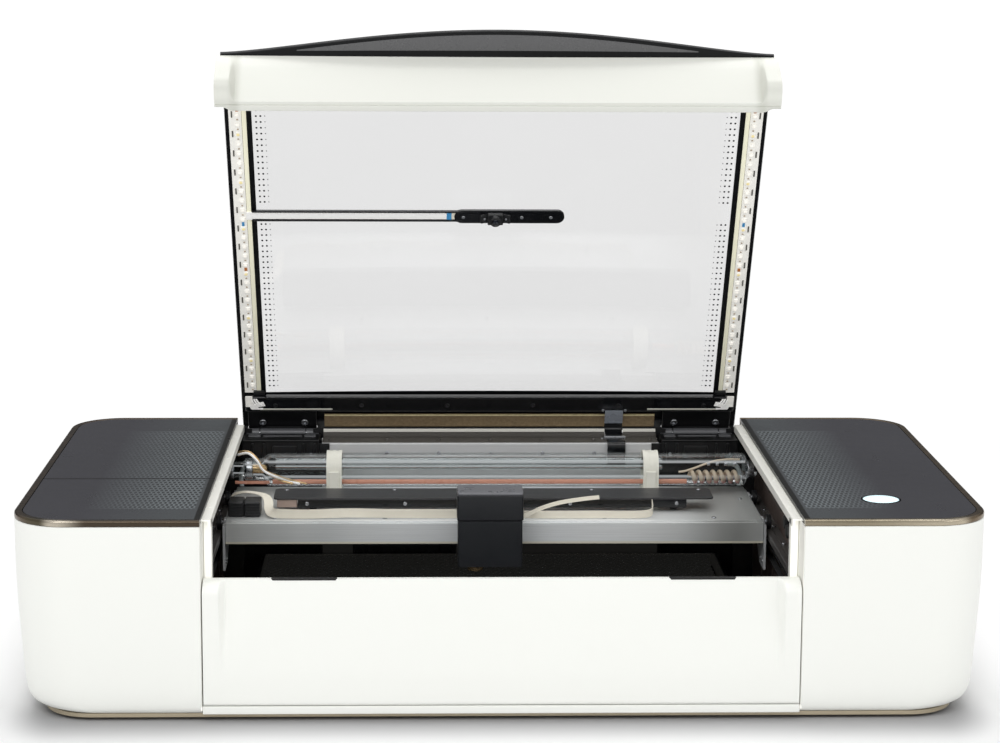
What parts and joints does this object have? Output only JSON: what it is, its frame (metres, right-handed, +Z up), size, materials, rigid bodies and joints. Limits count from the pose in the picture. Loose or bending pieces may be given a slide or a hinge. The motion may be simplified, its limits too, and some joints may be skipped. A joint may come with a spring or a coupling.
{
  "type": "desktop laser cutter",
  "caption": "Low desktop laser cutter: white side pods with dark glass tops, hinged glass lid, drop-down front door, sliding gantry with laser tube and print head.",
  "frame": {"origin": "on the table, under the centre of the box round the whole machine as it stands with its lid open", "axes": "+X to the right as seen from the front, +Y to the back, +Z up"},
  "size_m": [0.965, 0.5372, 0.6673],
  "materials": {
    "white_shell": "satin moulded",
    "bezel_metal": "bronze anodised",
    "dark_panel": "dark glass look with printed dots",
    "base_metal": "bronze paint",
    "black_plastic": "fine texture",
    "sheet_metal": "satin sheet",
    "dark_metal": "satin black",
    "lid_glass": "clear with black printed border",
    "tube_glass": "clear",
    "clamp_plastic": "moulded",
    "foot_rubber": "matt",
    "belt_rubber": "matt",
    "light_strip": "white circuit board",
    "seal_foam": "woven",
    "circuit_board": "solder mask",
    "tank_plastic": "translucent white",
    "button_light": "lit",
    "grid_metal": "honeycomb sheet",
    "brass": "turned"
  },
  "bodies": {
    "case": {"base_pan": "base_metal", "foot_front_left": "foot_rubber", "foot_front_right": "foot_rubber", "foot_rear_left": "foot_rubber", "foot_rear_right": "foot_rubber", "right_side_shell": "white_shell", "left_side_shell": "white_shell", "right_bezel": "bezel_metal", "left_bezel": "bezel_metal", "right_top_panel": "dark_panel", "left_top_panel": "dark_panel", "right_inner_trim": "white_shell", "left_inner_trim": "white_shell", "front_sill": "white_shell", "rear_panel": "white_shell", "right_chamber_wall": "dark_metal", "left_chamber_wall": "dark_metal", "right_y_belt": "belt_rubber", "left_y_belt": "belt_rubber", "exhaust_plenum": "sheet_metal", "exhaust_fan_housing": "black_plastic", "power_supply": "sheet_metal", "control_board": "circuit_board", "coolant_reservoir": "tank_plastic", "right_hinge_bracket": "black_plastic", "left_hinge_bracket": "black_plastic"},
    "lid": {"lid_glass": "lid_glass", "lid_front_bar": "white_shell", "lid_rear_bar": "black_plastic", "left_light_strip": "light_strip", "right_light_strip": "light_strip", "camera_arm": "black_plastic", "lid_camera": "black_plastic", "lid_rear_seal": "seal_foam", "right_hinge_leaf": "black_plastic", "left_hinge_leaf": "black_plastic"},
    "front_door": {"front_door": "white_shell"},
    "gantry": {"gantry_beam": "sheet_metal", "right_gantry_plate": "sheet_metal", "left_gantry_plate": "sheet_metal", "laser_tube": "tube_glass", "left_tube_clamp": "clamp_plastic", "right_tube_clamp": "clamp_plastic", "cover_plate": "dark_metal", "x_motor": "black_plastic", "x_belt": "belt_rubber"},
    "head": {"head_cover": "black_plastic"},
    "head_fan": {"head_fan": "black_plastic"},
    "lens": {"lens_holder": "brass"},
    "tray": {"crumb_tray": "black_plastic", "honeycomb_grid": "grid_metal"},
    "power_button": {"power_button": "button_light"},
    "exhaust_impeller": {"exhaust_impeller": "black_plastic"},
    "x_pulley": {"x_pulley": "sheet_metal"},
    "right_y_pulley": {"right_y_pulley": "sheet_metal"},
    "left_y_pulley": {"left_y_pulley": "sheet_metal"},
    "wheel_front_right": {"wheel_front_right": "black_plastic"},
    "wheel_rear_right": {"wheel_rear_right": "black_plastic"},
    "wheel_front_left": {"wheel_front_left": "black_plastic"},
    "wheel_rear_left": {"wheel_rear_left": "black_plastic"}
  },
  "joints": [
    {"name": "lid_hinge", "type": "hinge", "parent": "case", "child": "lid", "pos_m": [0, 0.25165, 0.1861], "axis": [-1, 0, 0], "range_deg": [-59.25, 0]},
    {"name": "door_hinge", "type": "hinge", "parent": "case", "child": "front_door", "pos_m": [0, -0.26455, 0.02], "axis": [1, 0, 0], "range_deg": [0, 90]},
    {"name": "gantry_slide", "type": "slide", "parent": "case", "child": "gantry", "axis": [0, 1, 0], "range_m": [-0.186, 0.012]},
    {"name": "head_slide", "type": "slide", "parent": "gantry", "child": "head", "axis": [1, 0, 0], "range_m": [-0.243, 0.255]},
    {"name": "lens_focus", "type": "slide", "parent": "head", "child": "lens", "axis": [0, 0, 1], "range_m": [-0.006, 0.006]},
    {"name": "tray_lift", "type": "slide", "parent": "case", "child": "tray", "axis": [0, 0, 1], "range_m": [0, 0.008]},
    {"name": "button_press", "type": "slide", "parent": "case", "child": "power_button", "axis": [0, 0, -1], "range_m": [0, 0.0015], "stiffness_N_per_m": 800, "springref_m": -0.0012},
    {"name": "exhaust_fan_spin", "type": "hinge", "parent": "case", "child": "exhaust_impeller", "pos_m": [-0.1, 0.22245, 0.098], "axis": [0, 1, 0], "continuous": true},
    {"name": "head_fan_spin", "type": "hinge", "parent": "head", "child": "head_fan", "pos_m": [0.01, -0.01835, 0.107], "axis": [0, 0, 1], "continuous": true},
    {"name": "x_pulley_spin", "type": "hinge", "parent": "gantry", "child": "x_pulley", "pos_m": [-0.273, 0.04495, 0.122], "axis": [0, 0, 1], "continuous": true},
    {"name": "right_y_pulley_spin", "type": "hinge", "parent": "case", "child": "right_y_pulley", "pos_m": [0.304, 0.18095, 0.099], "axis": [1, 0, 0], "continuous": true},
    {"name": "left_y_pulley_spin", "type": "hinge", "parent": "case", "child": "left_y_pulley", "pos_m": [-0.304, 0.18095, 0.099], "axis": [1, 0, 0], "continuous": true},
    {"name": "front_right_wheel_spin", "type": "hinge", "parent": "gantry", "child": "wheel_front_right", "pos_m": [0.2998, 0.02495, 0.1324], "axis": [1, 0, 0], "continuous": true},
    {"name": "rear_right_wheel_spin", "type": "hinge", "parent": "gantry", "child": "wheel_rear_right", "pos_m": [0.2998, 0.14495, 0.1324], "axis": [1, 0, 0], "continuous": true},
    {"name": "front_left_wheel_spin", "type": "hinge", "parent": "gantry", "child": "wheel_front_left", "pos_m": [-0.2998, 0.02495, 0.1324], "axis": [1, 0, 0], "continuous": true},
    {"name": "rear_left_wheel_spin", "type": "hinge", "parent": "gantry", "child": "wheel_rear_left", "pos_m": [-0.2998, 0.14495, 0.1324], "axis": [1, 0, 0], "continuous": true}
  ],
  "couplings": [
    {"joint": "x_pulley_spin", "follows": "head_slide", "rad_per_m": 156.25},
    {"joint": "right_y_pulley_spin", "follows": "gantry_slide", "rad_per_m": -156.25},
    {"joint": "left_y_pulley_spin", "follows": "gantry_slide", "rad_per_m": -156.25},
    {"joint": "front_right_wheel_spin", "follows": "gantry_slide", "rad_per_m": -125},
    {"joint": "rear_right_wheel_spin", "follows": "gantry_slide", "rad_per_m": -125},
    {"joint": "front_left_wheel_spin", "follows": "gantry_slide", "rad_per_m": -125},
    {"joint": "rear_left_wheel_spin", "follows": "gantry_slide", "rad_per_m": -125}
  ]
}
